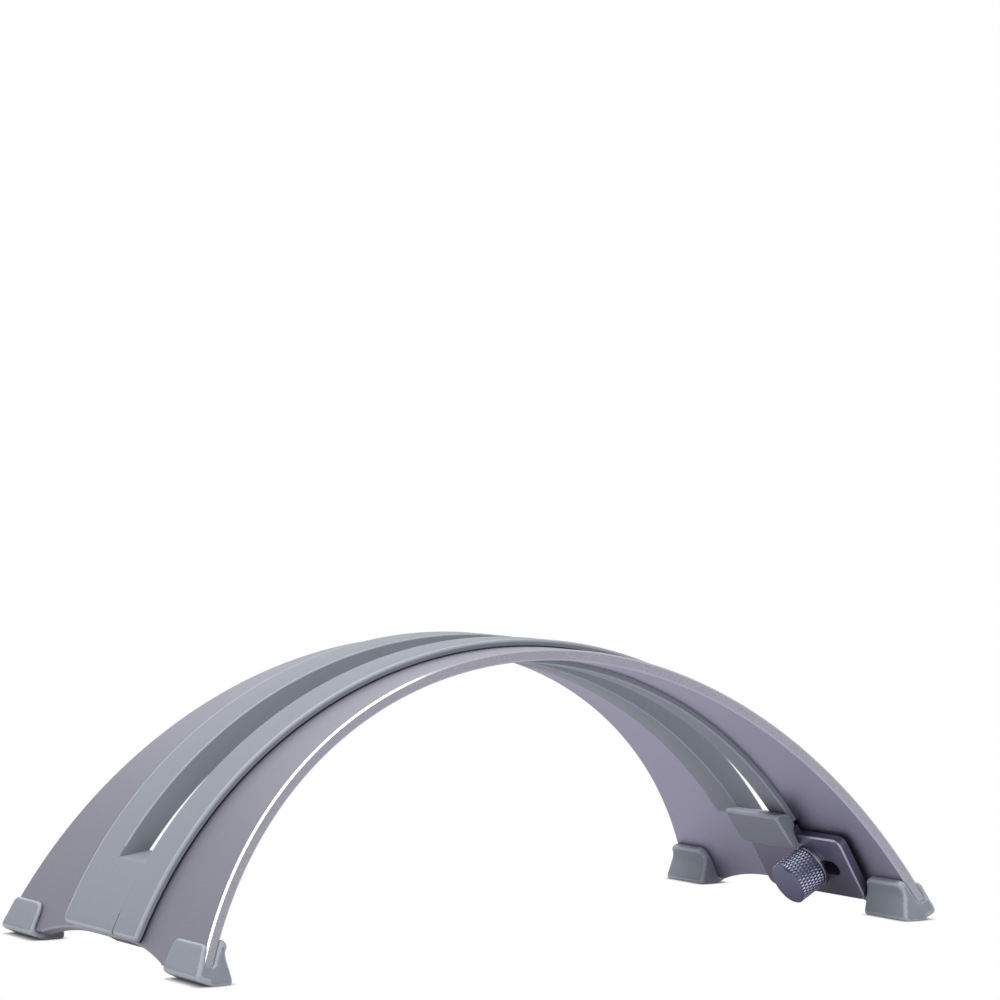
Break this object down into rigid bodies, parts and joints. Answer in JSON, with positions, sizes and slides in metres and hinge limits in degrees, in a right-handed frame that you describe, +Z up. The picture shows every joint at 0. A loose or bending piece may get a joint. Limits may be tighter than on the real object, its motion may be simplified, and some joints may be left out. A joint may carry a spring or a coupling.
{
  "type": "vertical laptop stand",
  "caption": "Low arched desk stand of bent aluminium sheet in sliding halves; a silicone-lined slot holds a closed laptop upright and thumb screws under the legs clamp its width.",
  "frame": {"origin": "on the desk under the middle of the arch", "axes": "+X along the span from the left leg to the right leg, +Y across the slot towards the fixed far half, +Z up from the desk"},
  "size_m": [0.2242, 0.1194, 0.0791],
  "materials": {
    "anodised_sheet": "bead-blasted grey anodised, polished chamfers",
    "silicone": "matt moulded silicone",
    "bracket_plate": "grey anodised plate with bright chamfers",
    "knob_metal": "turned, knurled and anodised",
    "steel": "turned, zinc plated"
  },
  "bodies": {
    "far_half": {"far_arch": "anodised_sheet", "far_liner": "silicone", "far_left_foot": "silicone", "far_right_foot": "silicone", "left_bracket": "bracket_plate", "right_bracket": "bracket_plate", "left_rest": "silicone", "right_rest": "silicone", "left_bracket_screw": "steel", "right_bracket_screw": "steel"},
    "near_half": {"near_arch": "anodised_sheet", "near_liner": "silicone", "near_left_foot": "silicone", "near_right_foot": "silicone"},
    "left_clamp_washer": {"left_washer": "steel"},
    "left_thumb_screw": {"left_knob": "knob_metal", "left_stud": "steel"},
    "right_clamp_washer": {"right_washer": "steel"},
    "right_thumb_screw": {"right_knob": "knob_metal", "right_stud": "steel"}
  },
  "joints": [
    {"name": "near_half_slide", "type": "slide", "parent": "far_half", "child": "near_half", "axis": [0, -1, 0], "range_m": [0, 0.01]},
    {"name": "left_washer_travel", "type": "slide", "parent": "near_half", "child": "left_clamp_washer", "axis": [0.8733, 0, -0.4871], "range_m": [0, 0.0007]},
    {"name": "left_knob_turn", "type": "hinge", "parent": "left_clamp_washer", "child": "left_thumb_screw", "pos_m": [-0.09703, -0.0207, 0.01112], "axis": [0.8733, 0, -0.4871], "range_deg": [0, 360]},
    {"name": "right_washer_travel", "type": "slide", "parent": "near_half", "child": "right_clamp_washer", "axis": [-0.8733, 0, -0.4871], "range_m": [0, 0.0007]},
    {"name": "right_knob_turn", "type": "hinge", "parent": "right_clamp_washer", "child": "right_thumb_screw", "pos_m": [0.09703, -0.0207, 0.01112], "axis": [-0.8733, 0, -0.4871], "range_deg": [0, 360]}
  ],
  "couplings": [
    {"joint": "left_knob_turn", "follows": "left_washer_travel", "rad_per_m": 8976},
    {"joint": "right_knob_turn", "follows": "right_washer_travel", "rad_per_m": 8976}
  ]
}
